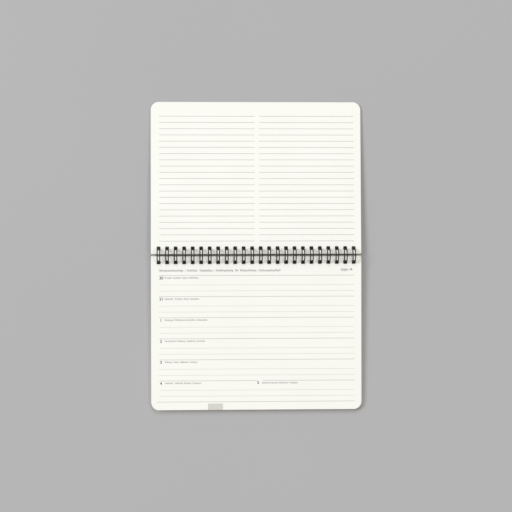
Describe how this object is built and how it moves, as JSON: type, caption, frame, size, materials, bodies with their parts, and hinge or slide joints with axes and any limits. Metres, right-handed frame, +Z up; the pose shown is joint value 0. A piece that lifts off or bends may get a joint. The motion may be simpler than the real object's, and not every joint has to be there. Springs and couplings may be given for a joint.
{
  "type": "desk calendar",
  "caption": "Wire-bound weekly desk calendar lying open flat, with ruled notes pages turned over above the spine and dated week pages below it.",
  "frame": {"origin": "on the table under the middle of the spine, at the bottom centre of the open calendar", "axes": "+X along the spine to the reader's right, +Y across the turned notes pages away from the reader, +Z up"},
  "size_m": [0.21, 0.3076, 0.0143],
  "materials": {
    "binding_wire": "satin black coated steel wire",
    "page_paper": "uncoated ivory writing paper",
    "cover_board": "plain grey-brown board",
    "print_ink": "grey printing ink on the leaves"
  },
  "bodies": {
    "back_cover": {"back_cover": "cover_board"},
    "wire_binding": {"wire_binding": "binding_wire"},
    "remaining_pages": {"remaining_pages": "page_paper"},
    "front_cover": {"front_cover": "cover_board"},
    "turned_pages": {"turned_pages": "page_paper"}
  },
  "joints": [
    {"name": "wire_turn", "type": "hinge", "parent": "back_cover", "child": "wire_binding", "pos_m": [0, 0, 0.00732], "axis": [1, 0, 0], "range_deg": [-25, 25]},
    {"name": "remaining_pages_turn", "type": "hinge", "parent": "back_cover", "child": "remaining_pages", "pos_m": [0, 0, 0.00732], "axis": [1, 0, 0], "range_deg": [-177.1, 0]},
    {"name": "front_cover_turn", "type": "hinge", "parent": "back_cover", "child": "front_cover", "pos_m": [0, 0, 0.00732], "axis": [1, 0, 0], "range_deg": [0, 177.1]},
    {"name": "turned_pages_turn", "type": "hinge", "parent": "front_cover", "child": "turned_pages", "pos_m": [0, 0, 0.00732], "axis": [1, 0, 0], "range_deg": [0, 177.1]}
  ]
}
